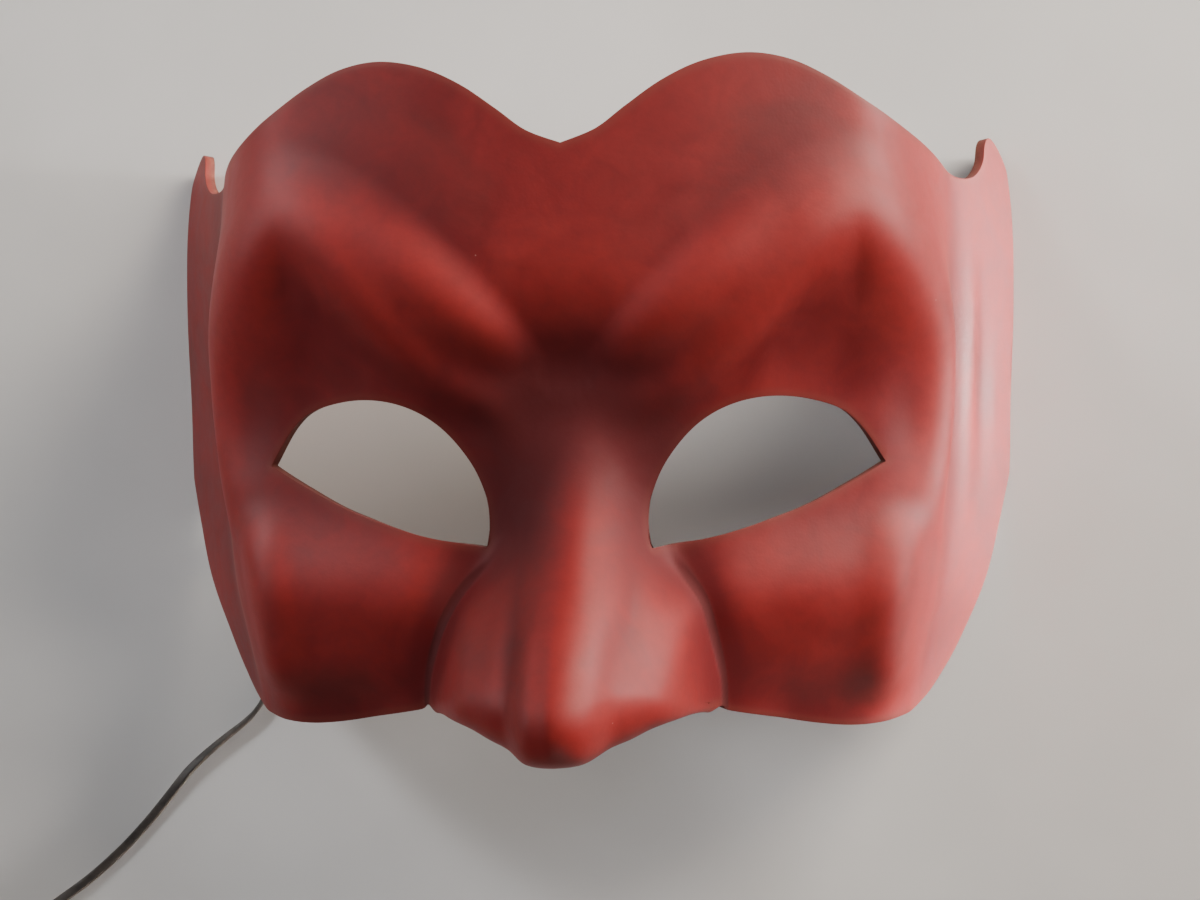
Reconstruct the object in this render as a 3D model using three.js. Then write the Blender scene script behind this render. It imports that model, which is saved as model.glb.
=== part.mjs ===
// Half mask of moulded leather, lying face up, with the lace that ties it.
// Millimetres. X runs across the face, Y up the forehead, Z out of the face. The mask rests on the
// back edges of its two side wings at Z = 0, and the origin is on that plane, under its middle.
import * as THREE from "three";

const { degToRad, lerp } = THREE.MathUtils;

// Driving sizes of the plain sheet of leather, before the face is pressed into it
const LEATHER = 2.2; // thickness
const SHEET_HEIGHT = 59; // front of the plain sheet over the table
const FRONT_RADIUS = 188; // how flat the front is from side to side
const FRONT_WIDTH = 59; // half the width of the front, along the leather
const CORNER_WIDTH = 30; // leather in the turn from the front into a wing
const CORNER_SLOPE = degToRad(74);
const FLARE = degToRad(14); // how far a wing flares out again behind the temple
const FLARE_START = 83;
const FLARE_WIDTH = 14;
const FACE_MIDDLE = 9.55; // height on the face that lies over the origin

// Forms of the face. A pair is a stretch over which a form comes in, or fades out where it runs backwards.
const FRONT_END = [86, 56];
const FOREHEAD = { rise: 13.3, height: [-24, 44] };
const CHEEK = { rise: 4.5, y: -29, tilt: 0.06, middle: 40, halfHeight: 13, start: [14, 36], end: [76, 60] };
const CHEEK_CORNER = { rise: 2.2, s: 68, halfWidth: 5.5, top: [-8, -22], bottom: [-56, -44] };
const JAW = { fall: 6, height: [-38, -60], start: [26, 52], end: [94, 74] };
const LIP = { fall: 3, height: [-36, -58], end: [46, 20] };
const GLABELLA = { rise: -3, s: 0, y: 12, halfWidth: 13, halfHeight: 13 };
const EYE_SOCKET = { rise: -4, s: 58, y: 14, halfWidth: 17, halfHeight: 18 };
const EYE_CREASE = { rise: -0.9, s: 70.5, y: 3, halfWidth: 6, halfHeight: 9 };
const NOSE_SHARE = { height: [22, 8], width: [46, 38] };
const NOSE_LOW = [-18, -38]; // where the wings of the nose and the grooves beside its tip come in
const NOSE_WING = { rise: 4.6, s: 21.5, halfWidth: 6 };
const NOSE_GROOVE = { rise: -1, s: 10, halfWidth: 3 };
const NOSE_ROLL_RADIUS = 8; // how round the tip of the nose turns under
const EDGE_ROLL_RADIUS = 3.4; // the same at the wings of the nose
const ROLL_WIDTH = [27, 5];
const NOSE_ROLL_ANGLE = degToRad(100);
const NOSE_START_SLOPE = 0.4; // slope of the ridge, in radians, where the turn starts
const NOSE_UNDERSIDE = 13; // leather under the tip, behind the turn
const UNDERSIDE_WIDTH = [33, 19];

const CLEARANCE = 0.3; // between pieces that lie against each other
const LACE_WIDTH = 2.2;
const LACE_SIDES = 8;
const LACE_STEPS = 30;
const PATCH = { thickness: 3, from: 102, to: 113, low: 3.5, high: 21.5, cells: 4 }; // inside the left wing
const COIL_CENTRE = [-137.4, -138.2];
const COIL_RADIUS = 12; // middle of the coiled turns
const COIL_BUNDLE = 4.8; // width and height of the bundle of turns
const COIL_CORNER = 1.4; // taken off each corner of the bundle
const COIL_SIDES = 32;
const TIE = { thickness: 0.5, width: 4, angle: degToRad(-50) };

// Outlines on the flat leather: distance from the middle along the leather, height on the face
const TOP_EDGE = [
  [0, 58.8], [6.7, 61.4], [12.5, 65.7], [19.6, 70.6], [27.5, 74.2], [36.5, 75.9], [45, 74.9],
  [53, 71.6], [61, 66.9], [69, 62.6], [77.5, 59.7], [87, 58], [96, 57.6], [103.5, 58.9], [109.5, 62.6],
  [113, 67.2], [116.2, 69], [119.6, 67.6], [122, 65],
];
const TOP_EDGE_END = 62.5;
const LOWER_EDGE = [
  [33, -52], [38, -52.9], [44.5, -54.1], [53.5, -55.7], [62.5, -56.7], [70.5, -56.7], [78, -56.2],
  [87, -55.3], [95, -53], [101.5, -49], [107.5, -43.5], [112, -36], [115.6, -27], [118.6, -17.5],
];
const LOWER_EDGE_END = -6;
const EYE_UPPER = [
  [16.6, -19.2], [15.7, -16.2], [16.1, -10.3], [19.3, -2.4], [25.6, 5], [33.6, 9.2], [43, 10.3],
  [52.9, 8.4], [58.5, 4.6], [64, -2.7],
];
const EYE_LOWER = [[16.6, -19.2], [30.2, -16.9], [46, -11.8], [56.7, -6.7], [64, -2.7]];

// Line where the tip and the wings of the nose start to turn under
const NOSE_LIP = [
  [-6, -45.5], [0, -45.3], [5, -45], [10, -43.4], [16, -44.2], [22, -46.2], [28, -48], [34, -51.8], [44, -54],
];

// The nose by height on the face: its ridge, half width, roundness, foot, the softness of its crease, and
// how far it leans to the right
const NOSE_TOP = [
  [-60, 102], [-50, 100.5], [-42, 96.5], [-32, 89.5], [-20, 79.5], [-14, 74], [-8, 68.2], [0, 60],
  [8, 50.5], [22, 34],
];
const NOSE_HALF_WIDTH = [
  [-70, 33], [-51.6, 32.6], [-41.5, 31], [-31.5, 26], [-22, 18.8], [-15, 15], [-6, 12.5], [8, 11], [22, 10],
];
const NOSE_ROUNDNESS = [[-60, 17], [-46, 16], [-36, 14.5], [-16, 14], [4, 14], [22, 14]];
const NOSE_FOOT = [[-70, 50], [-50, 54], [-34, 57], [-20, 57.5], [-10, 57], [0, 50], [8, 38], [22, 22]];
const NOSE_CREASE = [
  [-70, 1.2], [-50, 1.2], [-38, 1.4], [-30, 2], [-24, 3.4], [-18, 6], [-10, 10], [4, 13], [22, 12],
];
const NOSE_LEAN = [[-60, 0], [-46, 0.6], [-36, 1.2], [-26, 2.2], [0, 2.3], [22, 0]];

// How much of its width the mask loses towards its bottom and top, by height
const NARROWING = [
  [-80, 0.12], [-62, 0.11], [-52, 0.088], [-42, 0.062], [-27, 0.02], [-8, 0], [12, -0.006], [30, -0.014],
  [48, -0.014], [60, -0.004], [70, 0.014], [80, 0.02],
];
const NARROWING_REACH = 45; // leather over which the loss comes in, from the middle

// Ridges along paths: distance from the middle, height on the face, rise, width right and left of the path.
// The brow's lump has a crisp upper foot, and the rim of the eye socket turns down the temple.
const BROW = [
  [8, 16, 0.3, 6, 5], [12, 19.5, 1.5, 7, 7], [16.5, 22.6, 2.4, 8, 9], [23.2, 27.5, 3, 8.5, 11],
  [31.8, 35.6, 3, 9, 11], [41, 43.5, 2.2, 9, 10.5], [49.5, 48.5, 1, 9, 11], [57, 51, 0.3, 10, 11],
  [66, 52, 0, 10, 11],
];
const SOCKET_RIM = [
  [7, 3, 0, 5, 5], [14.4, 8, 0.8, 4.5, 5], [26, 15, 1.6, 4.5, 5.5], [34, 22.5, 2.4, 4.8, 5.5],
  [40.5, 30, 2.8, 5.5, 6], [46, 37, 3.1, 7, 6.5], [50.5, 41.8, 3.3, 8.5, 8], [56, 44.5, 3.4, 10.5, 11],
  [62, 42.5, 3.7, 11.5, 12], [67, 38, 4.1, 11, 11], [71.5, 31.5, 4.4, 10.5, 9], [75, 24, 4.5, 9, 6.5],
  [77, 15.5, 4.2, 7, 5], [78, 6, 3.6, 7.5, 4.8], [78, -8, 2, 9, 5], [78, -20, 0, 10, 6],
];
const RIDGE_STEPS = 12; // stretches between two rows of a path
const RIDGE_BLEND = 0.5; // how softly one stretch of a ridge passes into the next
const RIDGE_FALL = 4; // how fast a farther stretch loses its say
const DOME_POWER = 1.5;

// Mesh density: columns from the middle to the eye, over the eye and out to the wing's edge, rows below
// and above the eye
const COLUMNS = [8, 15, 13];
const ROWS = [13, 14];
const BELOW_EYE = [0, 14, 68]; // where these columns start on the lower edge
const ABOVE_EYE = [0, 18, 57]; // and on the upper edge
const EYE_ROW_START = -17; // height of the row of the eye at the middle
const EYE_ROW_END = 12; // and at the wing's edge
const RELAXING_PASSES = 60;
const SECTION_STEP = 0.5;
const SECTION_REACH = 160;

// Middle of the lace: from the patch inside the left wing down to the table, under the cheek and to the coil
const LACE_ROUTE = [
  [-83.2, -6.4, 11.4], [-83.2, -10.6, 11.2], [-83.2, -15, 10.2], [-83.1, -19.5, 8.2], [-82.8, -24, 5.6],
  [-82.2, -28.5, 3.3], [-81.3, -33.5, 1.8], [-80, -39, 1.25], [-78.4, -45, 1.15], [-77, -51, 1.15],
  [-76.2, -57, 1.15], [-76.5, -62.6, 1.15], [-78.4, -67.9, 1.15], [-81.9, -72, 1.15], [-86.2, -75.4, 1.15],
  [-91.2, -79.5, 1.15], [-96.2, -84.2, 1.15], [-100.4, -89.3, 1.15], [-105, -94.9, 1.15],
  [-110.4, -100.8, 1.15], [-115.8, -105.9, 1.15], [-121.2, -110.4, 1.15], [-127.1, -114.6, 1.15],
  [-133, -118.7, 1.15], [-138.6, -122.5, 1.15],
];

function clamp01(x) {
  return Math.min(Math.max(x, 0), 1);
}

function ease(x) {
  const t = clamp01(x);
  return t * t * t * (t * (6 * t - 15) + 10);
}

/** From 0 at the start of a stretch to 1 at its end. */
function ramp(x, [start, end]) {
  return ease((x - start) / (end - start));
}

function bell(distance, width) {
  return Math.exp(-((distance / width) ** 2));
}

/** Like a bell, but it ends at a crisp foot. */
function dome(distance, width) {
  return clamp01(1 - (distance / width) ** 2) ** DOME_POWER;
}

/** The larger of two heights, with the crease between them filleted. */
function filletedMax(a, b, softness) {
  return 0.5 * (a + b + Math.hypot(a - b, softness));
}

/** Catmull-Rom curve through rows of numbers, with a number of steps to each span. */
function smoothRows(rows, steps) {
  const row = (i) => rows[Math.min(Math.max(i, 0), rows.length - 1)];
  const out = [];
  for (let i = 0; i < rows.length - 1; i++) {
    for (let k = 0; k < steps; k++) {
      const t = k / steps;
      out.push(row(i).map((p1, c) => {
        const [p0, p2, p3] = [row(i - 1)[c], row(i + 1)[c], row(i + 2)[c]];
        return 0.5 * (2 * p1 + (p2 - p0) * t + (2 * p0 - 5 * p1 + 4 * p2 - p3) * t * t
          + (3 * p1 - p0 - 3 * p2 + p3) * t ** 3);
      }));
    }
  }
  out.push(row(rows.length - 1));
  return out;
}

/** Value at x of a line of [x, value] points whose x only rises. */
function valueAt(line, x) {
  if (x <= line[0][0]) return line[0][1];
  let high = line.length - 1;
  if (x >= line[high][0]) return line[high][1];
  let low = 0;
  while (high - low > 1) {
    const middle = (low + high) >> 1;
    if (line[middle][0] > x) high = middle;
    else low = middle;
  }
  const share = (x - line[low][0]) / (line[high][0] - line[low][0]);
  return line[low][1] + share * (line[high][1] - line[low][1]);
}

function graph(points) {
  const line = smoothRows(points, 16);
  return (x) => valueAt(line, x);
}

const narrowingAt = graph(NARROWING);
const noseTopAt = graph(NOSE_TOP);
const noseHalfWidthAt = graph(NOSE_HALF_WIDTH);
const noseRoundnessAt = graph(NOSE_ROUNDNESS);
const noseFootAt = graph(NOSE_FOOT);
const noseCreaseAt = graph(NOSE_CREASE);
const noseLeanAt = graph(NOSE_LEAN);
const noseLipAt = graph(NOSE_LIP);

/** Slope of the plain sheet at a distance from the middle: front, temple corner, flared wing. */
function slopeAt(s) {
  const front = Math.min(s, FRONT_WIDTH) / FRONT_RADIUS;
  const corner = (CORNER_SLOPE - FRONT_WIDTH / FRONT_RADIUS) * ease((s - FRONT_WIDTH) / CORNER_WIDTH);
  return front + corner - FLARE * ease((s - FLARE_START) / FLARE_WIDTH);
}

/** The plain sheet's cross-section, found by walking along the leather. */
function walkSection(step, reach) {
  const across = [[0, 0]];
  const height = [[0, SHEET_HEIGHT]];
  for (let s = 0; s < reach; s += step) {
    const slope = slopeAt(s + step / 2);
    across.push([s + step, across.at(-1)[1] + Math.cos(slope) * step]);
    height.push([s + step, height.at(-1)[1] - Math.sin(slope) * step]);
  }
  return { across, height };
}

const section = walkSection(SECTION_STEP, SECTION_REACH);
const BACK_EDGE = valueAt(section.height.map(([s, z]) => [-z, s]), 0);

/** Rise of a ridge along a path: a bell on its right side, blended between the nearest stretches. */
function ridgeRise(path, leftSide, s, y) {
  let total = 0;
  let weights = 0;
  for (let i = 0; i < path.length - 1; i++) {
    const [a, b] = [path[i], path[i + 1]];
    const [ds, dy] = [b[0] - a[0], b[1] - a[1]];
    const t = clamp01(((s - a[0]) * ds + (y - a[1]) * dy) / (ds * ds + dy * dy));
    const [nearS, nearY, height, right, left] = a.map((v, c) => v + t * (b[c] - v));
    const distance = Math.hypot(s - nearS, y - nearY);
    const onLeft = ds * (y - a[1]) - dy * (s - a[0]) > 0;
    const weight = (distance ** 2 + RIDGE_BLEND) ** -RIDGE_FALL;
    total += weight * height * (onLeft ? leftSide(distance, left) : bell(distance, right));
    weights += weight;
  }
  return total / weights;
}

const browPath = smoothRows(BROW, RIDGE_STEPS);
const socketRimPath = smoothRows(SOCKET_RIM, RIDGE_STEPS);

/** A round hollow or swelling. */
function swelling(form, s, y) {
  return form.rise * bell(s - form.s, form.halfWidth) * bell(y - form.y, form.halfHeight);
}

/** What forehead, glabella, eye sockets and cheeks add to the sheet's height. */
function faceRise(s, y) {
  const forehead = FOREHEAD.rise * ramp(y, FOREHEAD.height) * ramp(s, FRONT_END);
  const cheekMiddle = CHEEK.y + CHEEK.tilt * (s - CHEEK.middle);
  const cheekShare = ramp(s, CHEEK.start) * ramp(s, CHEEK.end);
  const cheek = CHEEK.rise * bell(y - cheekMiddle, CHEEK.halfHeight) * cheekShare;
  const jaw = JAW.fall * ramp(y, JAW.height) * ramp(s, JAW.start) * ramp(s, JAW.end);
  const lip = LIP.fall * ramp(y, LIP.height) * ramp(s, LIP.end);
  return forehead + swelling(GLABELLA, s, y) + swelling(EYE_SOCKET, s, y) + cheek - jaw - lip;
}

/** The nose's own surface: straight flanks from a rounded ridge, grooves beside the tip and full wings. */
function noseHeight(signedS, y) {
  const s = Math.abs(signedS - noseLeanAt(y));
  const top = noseTopAt(y);
  const round = noseRoundnessAt(y);
  const flank = (top - noseFootAt(y)) / (Math.hypot(noseHalfWidthAt(y), round) - round);
  const wing = NOSE_WING.rise * bell(s - NOSE_WING.s, NOSE_WING.halfWidth);
  const groove = NOSE_GROOVE.rise * bell(s - NOSE_GROOVE.s, NOSE_GROOVE.halfWidth);
  return top - flank * (Math.hypot(s, round) - round) + ramp(y, NOSE_LOW) * (wing + groove);
}

/** What stands off the sheet square to it: brow, rim of the socket, cheek's corner, crease beyond the eye. */
function reliefRise(s, y) {
  const { rise, s: middle, halfWidth, top, bottom } = CHEEK_CORNER;
  const corner = rise * bell(s - middle, halfWidth) * ramp(y, top) * ramp(y, bottom);
  const ridges = ridgeRise(browPath, dome, s, y) + ridgeRise(socketRimPath, bell, s, y);
  return ridges + corner + swelling(EYE_CREASE, s, y);
}

/** The outer surface without the turned-under end of the nose. */
function openSurface(signedS, y) {
  const s = Math.abs(signedS);
  const slope = slopeAt(s);
  const sheet = valueAt(section.height, s) + faceRise(s, y);
  const noseShare = ramp(y, NOSE_SHARE.height) * ramp(s, NOSE_SHARE.width);
  const joined = filletedMax(sheet, noseHeight(signedS, y), noseCreaseAt(y));
  const relief = reliefRise(s, y);
  const narrowing = narrowingAt(y) * ease(s / NARROWING_REACH);
  const across = valueAt(section.across, s) * (1 - narrowing) + relief * Math.sin(slope);
  const height = sheet + (joined - sheet) * noseShare + relief * Math.cos(slope);
  return new THREE.Vector3(signedS < 0 ? -across : across, y, height);
}

function rollRadius(s) {
  return lerp(EDGE_ROLL_RADIUS, NOSE_ROLL_RADIUS, ramp(Math.abs(s), ROLL_WIDTH));
}

/** Leather below the nose's lip line: the turn and the flat underside, fading out towards the cheeks. */
function rollLength(s) {
  const turn = rollRadius(s) * (NOSE_ROLL_ANGLE + NOSE_START_SLOPE);
  return ramp(Math.abs(s), UNDERSIDE_WIDTH) * (turn + NOSE_UNDERSIDE);
}

/** The outer surface: below the lip line the leather turns under, then runs straight. */
function surface(s, y) {
  const lip = noseLipAt(Math.abs(s));
  const over = Math.abs(s) < NOSE_LIP.at(-2)[0] ? Math.max(lip - y, 0) : 0;
  const point = openSurface(s, over > 0 ? lip : y);
  if (over === 0) return point;
  const radius = rollRadius(s);
  const start = Math.atan2(openSurface(s, lip + 1).z - point.z, 1);
  const turn = Math.min(start + over / radius, NOSE_ROLL_ANGLE);
  const straight = Math.max(over - radius * (NOSE_ROLL_ANGLE - start), 0);
  point.y -= radius * (Math.sin(turn) - Math.sin(start)) + straight * Math.cos(turn);
  point.z += radius * (Math.cos(turn) - Math.cos(start)) - straight * Math.sin(turn);
  return point;
}

function surfaceNormal(s, y) {
  const reach = 0.6;
  const along = surface(s + reach, y).sub(surface(s - reach, y));
  const up = surface(s, y + reach).sub(surface(s, y - reach));
  return along.cross(up).normalize();
}

/** The stretch of a line between two distances from the middle, as evenly spaced points. */
function stretch(line, from, to, count) {
  const inner = line.filter(([s]) => s > from && s < to);
  const heightAt = (s) => valueAt(line, s);
  return spaced([[from, heightAt(from)], ...inner, [to, heightAt(to)]], count);
}

function spaced(line, count) {
  const lengths = [0];
  for (let i = 1; i < line.length; i++) {
    lengths.push(lengths[i - 1] + Math.hypot(line[i][0] - line[i - 1][0], line[i][1] - line[i - 1][1]));
  }
  const coordinate = (c) => lengths.map((length, i) => [length, line[i][c]]);
  const [sLine, yLine] = [coordinate(0), coordinate(1)];
  return Array.from({ length: count + 1 }, (_, k) => {
    const at = (lengths.at(-1) * k) / count;
    return [valueAt(sLine, at), valueAt(yLine, at)];
  });
}

function joinedStretches(line, starts) {
  const ends = [...starts.slice(1), BACK_EDGE];
  return starts.flatMap((start, k) => stretch(line, start, ends[k], COLUMNS[k]).slice(k === 0 ? 0 : 1));
}

/** Lower and upper edge of one half, from the middle to the back edge. */
function edgeLines() {
  const noseEdge = Array.from({ length: LOWER_EDGE[0][0] }, (_, s) => [s, noseLipAt(s) - rollLength(s)]);
  const lower = smoothRows([...LOWER_EDGE, [BACK_EDGE, LOWER_EDGE_END]], 8);
  const upper = smoothRows([...TOP_EDGE, [BACK_EDGE, TOP_EDGE_END]], 8);
  return {
    lower: joinedStretches([...noseEdge, ...lower], BELOW_EYE),
    upper: joinedStretches(upper, ABOVE_EYE),
  };
}

/** A block of points filled in between its bottom and top edges: [column][row]. */
function filledBlock(bottom, top, rows) {
  return bottom.map((low, i) => Array.from({ length: rows + 1 }, (_, j) => {
    return low.map((value, c) => lerp(value, top[i][c], j / rows));
  }));
}

/** Grid over one half of the leather, below and above a slit that opens to the eye hole: [column][row]. */
function halfGrid() {
  const { lower, upper } = edgeLines();
  const [eyeIn, eyeOut] = [EYE_UPPER[0], EYE_UPPER.at(-1)];
  const eyeRow = (outline) => [
    ...spaced([[0, EYE_ROW_START], eyeIn], COLUMNS[0]).slice(0, -1),
    ...spaced(smoothRows(outline, 8), COLUMNS[1]),
    ...spaced([eyeOut, [BACK_EDGE, EYE_ROW_END]], COLUMNS[2]).slice(1),
  ];
  return [filledBlock(lower, eyeRow(EYE_LOWER), ROWS[0]), filledBlock(eyeRow(EYE_UPPER), upper, ROWS[1])];
}

/** Evens out the grid's inner points, leaving the edges, the middle line and the eye hole where they are. */
function relaxedGrid() {
  const [below, above] = halfGrid();
  const [first, second] = [COLUMNS[0], COLUMNS[0] + COLUMNS[1]];
  const last = below.length - 1;
  const average = (...points) => [0, 1].map((c) => points.reduce((sum, p) => sum + p[c], 0) / points.length);
  for (let pass = 0; pass < RELAXING_PASSES; pass++) {
    for (const part of [below, above]) {
      for (let i = 1; i < last; i++) {
        for (let j = 1; j < part[0].length - 1; j++) {
          part[i][j] = average(part[i - 1][j], part[i + 1][j], part[i][j - 1], part[i][j + 1]);
        }
      }
    }
    for (let i = 1; i < last; i++) {
      if (i >= first && i <= second) continue;
      const point = average(below[i - 1].at(-1), below[i + 1].at(-1), below[i].at(-2), above[i][1]);
      below[i][below[i].length - 1] = point;
      above[i][0] = point;
    }
  }
  return [below, above];
}

/** Closed shell from outer faces and their two layers of vertices: every open edge gets a rim. */
function thickShell(outer, inner, quads) {
  const faces = [...quads];
  const directed = new Set();
  for (const quad of quads) {
    quad.forEach((from, k) => directed.add(`${from},${quad[(k + 1) % 4]}`));
    faces.push(quad.map((v) => v + outer.length).reverse());
  }
  for (const edge of directed) {
    const [from, to] = edge.split(",").map(Number);
    if (!directed.has(`${to},${from}`)) faces.push([to, from, from + outer.length, to + outer.length]);
  }
  const vertices = [...outer, ...inner];
  const index = faces.flatMap(([a, b, c, d]) => {
    const acrossAC = vertices[a].distanceTo(vertices[c]) <= vertices[b].distanceTo(vertices[d]);
    return acrossAC ? [a, b, c, a, c, d] : [a, b, d, b, c, d];
  });
  const geometry = new THREE.BufferGeometry().setFromPoints(vertices);
  geometry.setIndex(index);
  geometry.computeVertexNormals();
  return geometry;
}

function maskGeometry() {
  const parts = relaxedGrid();
  const last = parts[0].length - 1;
  const [first, second] = [COLUMNS[0], COLUMNS[0] + COLUMNS[1]];
  const places = new Map();
  const outer = [];
  const inner = [];
  const vertexAt = (side, part, i, j) => {
    const onEyeRow = part === 0 ? j === ROWS[0] : j === 0;
    const shared = onEyeRow && (i <= first || i >= second);
    const key = [i === 0 ? 0 : side, shared ? "eye row" : part, i, shared ? 0 : j].join(" ");
    if (!places.has(key)) {
      const [s, y] = parts[part][i][j];
      const point = surface(side * s, y);
      const under = point.clone().addScaledVector(surfaceNormal(side * s, y), -LEATHER);
      if (i === last) point.z = 0;
      under.z = i === last ? 0 : Math.max(under.z, 0);
      if (i === 0) under.x = 0;
      places.set(key, outer.length);
      outer.push(point);
      inner.push(under);
    }
    return places.get(key);
  };
  const quads = [];
  for (const side of [1, -1]) {
    parts.forEach((grid, part) => {
      for (let i = 0; i < last; i++) {
        for (let j = 0; j < grid[0].length - 1; j++) {
          const corners = [[i, j], [i + 1, j], [i + 1, j + 1], [i, j + 1]];
          const quad = corners.map(([a, b]) => vertexAt(side, part, a, b));
          quads.push(side > 0 ? quad : quad.reverse());
        }
      }
    });
  }
  return thickShell(outer, inner, quads).translate(0, -FACE_MIDDLE, 0);
}

/** Plate that follows the inside of the left wing, over the end of the lace. */
function patchGeometry() {
  const { from, to, low, high, cells, thickness } = PATCH;
  const [near, far] = [[], []];
  const quads = [];
  for (let i = 0; i <= cells; i++) {
    for (let j = 0; j <= cells; j++) {
      const s = -lerp(from, to, i / cells);
      const y = lerp(low, high, j / cells);
      const normal = surfaceNormal(s, y);
      const depth = LEATHER + CLEARANCE;
      near.push(surface(s, y).addScaledVector(normal, -depth));
      far.push(surface(s, y).addScaledVector(normal, -depth - thickness));
      if (i < cells && j < cells) {
        const corner = i * (cells + 1) + j;
        quads.push([corner, corner + 1, corner + cells + 2, corner + cells + 1]);
      }
    }
  }
  return thickShell(near, far, quads).translate(0, -FACE_MIDDLE, 0);
}

function laceRunGeometry() {
  const route = new THREE.CatmullRomCurve3(LACE_ROUTE.map((point) => new THREE.Vector3(...point)));
  const section = new THREE.Shape(Array.from({ length: LACE_SIDES }, (_, k) => {
    const angle = (2 * Math.PI * k) / LACE_SIDES;
    return new THREE.Vector2(Math.cos(angle), Math.sin(angle)).multiplyScalar(LACE_WIDTH / 2);
  }));
  return new THREE.ExtrudeGeometry(section, { extrudePath: route, steps: LACE_STEPS, curveSegments: 1 });
}

/** Ring with the outer shape of the coiled turns, on the tie that goes round them. */
function coilGeometry() {
  const half = COIL_BUNDLE / 2;
  const flat = half - COIL_CORNER;
  const profile = [
    [-half, flat], [-half, -flat], [-flat, -half], [flat, -half],
    [half, -flat], [half, flat], [flat, half], [-flat, half],
  ];
  const outline = profile.map(([across, up]) => new THREE.Vector2(COIL_RADIUS + across, up));
  return new THREE.LatheGeometry([...outline, outline[0]], COIL_SIDES)
    .rotateX(Math.PI / 2)
    .translate(...COIL_CENTRE, TIE.thickness + CLEARANCE + half);
}

function square(half) {
  const corners = [[-half, -half], [half, -half], [half, half], [-half, half]];
  return corners.map((corner) => new THREE.Vector2(...corner));
}

/** Band round the bundle of turns. */
function tieGeometry() {
  const inside = COIL_BUNDLE / 2 + CLEARANCE;
  const outside = inside + TIE.thickness;
  const band = new THREE.Shape(square(outside));
  band.holes.push(new THREE.Path(square(inside)));
  return new THREE.ExtrudeGeometry(band, { depth: TIE.width, bevelEnabled: false })
    .translate(0, 0, -TIE.width / 2)
    .rotateX(Math.PI / 2)
    .translate(COIL_RADIUS, 0, outside)
    .rotateZ(TIE.angle)
    .translate(...COIL_CENTRE, 0);
}

function named(name, geometry, material) {
  const mesh = new THREE.Mesh(geometry, material);
  mesh.name = name;
  return mesh;
}

const maskLeather = new THREE.MeshStandardMaterial({ color: 0x6e1a1a, roughness: 0.42, metalness: 0 });
const patchLeather = new THREE.MeshStandardMaterial({ color: 0x4a2418, roughness: 0.8, metalness: 0 });
const laceLeather = new THREE.MeshStandardMaterial({ color: 0x3a302a, roughness: 0.75, metalness: 0 });
const tieThread = new THREE.MeshStandardMaterial({ color: 0x5c4a3a, roughness: 0.85, metalness: 0 });

const mask = new THREE.Group();
mask.add(
  named("mask_shell", maskGeometry(), maskLeather),
  named("lace_patch", patchGeometry(), patchLeather),
  named("lace_run", laceRunGeometry(), laceLeather),
  named("lace_coil", coilGeometry(), laceLeather),
  named("coil_tie", tieGeometry(), tieThread),
);

export default mask;
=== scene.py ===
import math

import bpy
import numpy as np
from mathutils import Matrix, Vector
from mathutils.kdtree import KDTree


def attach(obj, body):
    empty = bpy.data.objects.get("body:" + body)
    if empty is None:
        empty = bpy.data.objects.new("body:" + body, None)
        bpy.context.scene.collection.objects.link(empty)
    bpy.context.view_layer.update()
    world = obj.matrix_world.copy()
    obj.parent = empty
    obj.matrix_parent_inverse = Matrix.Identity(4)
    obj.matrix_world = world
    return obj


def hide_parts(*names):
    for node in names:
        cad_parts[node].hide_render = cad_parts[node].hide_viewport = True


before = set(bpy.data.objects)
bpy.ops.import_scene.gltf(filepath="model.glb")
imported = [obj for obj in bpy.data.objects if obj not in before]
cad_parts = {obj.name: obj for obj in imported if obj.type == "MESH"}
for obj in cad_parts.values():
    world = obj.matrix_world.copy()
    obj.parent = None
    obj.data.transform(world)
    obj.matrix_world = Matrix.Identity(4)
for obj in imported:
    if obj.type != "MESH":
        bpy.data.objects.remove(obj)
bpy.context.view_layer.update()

# Sizes in millimetres: X runs across the face, Y up the forehead, Z out of the face.
MM = 0.001
LEATHER = 2.2
SHEET_HEIGHT = 59
FRONT_RADIUS = 188
FRONT_WIDTH = 59
CORNER_WIDTH = 30
CORNER_SLOPE = math.radians(74)
FLARE = math.radians(14)
FLARE_START = 83
FLARE_WIDTH = 14
FACE_MIDDLE = 9.55

# Forms of the face. A pair is a stretch over which a form comes in, or fades out where it runs backwards.
FRONT_END = (86, 56)
FOREHEAD = dict(rise=13.3, height=(-24, 44))
CHEEK = dict(rise=4.5, y=-29, tilt=0.06, middle=40, half_height=13, start=(14, 36), end=(76, 60))
CHEEK_CORNER = dict(rise=2.2, s=68, half_width=5.5, top=(-8, -22), bottom=(-56, -44))
JAW = dict(fall=6, height=(-38, -60), start=(26, 52), end=(94, 74))
LIP = dict(fall=3, height=(-36, -58), end=(46, 20))
GLABELLA = dict(rise=-3, s=0, y=12, half_width=13, half_height=13)
EYE_SOCKET = dict(rise=-4, s=58, y=14, half_width=17, half_height=18)
EYE_CREASE = dict(rise=-0.9, s=70.5, y=3, half_width=6, half_height=9)
NOSE_SHARE = dict(height=(22, 8), width=(46, 38))
NOSE_LOW = (-18, -38)
NOSE_WING = dict(rise=4.6, s=21.5, half_width=6)
NOSE_GROOVE = dict(rise=-1, s=10, half_width=3)
NOSE_ROLL_RADIUS = 8
EDGE_ROLL_RADIUS = 3.4
ROLL_WIDTH = (27, 5)
NOSE_ROLL_ANGLE = math.radians(100)
NOSE_START_SLOPE = 0.4
NOSE_UNDERSIDE = 13
UNDERSIDE_WIDTH = (33, 19)

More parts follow.
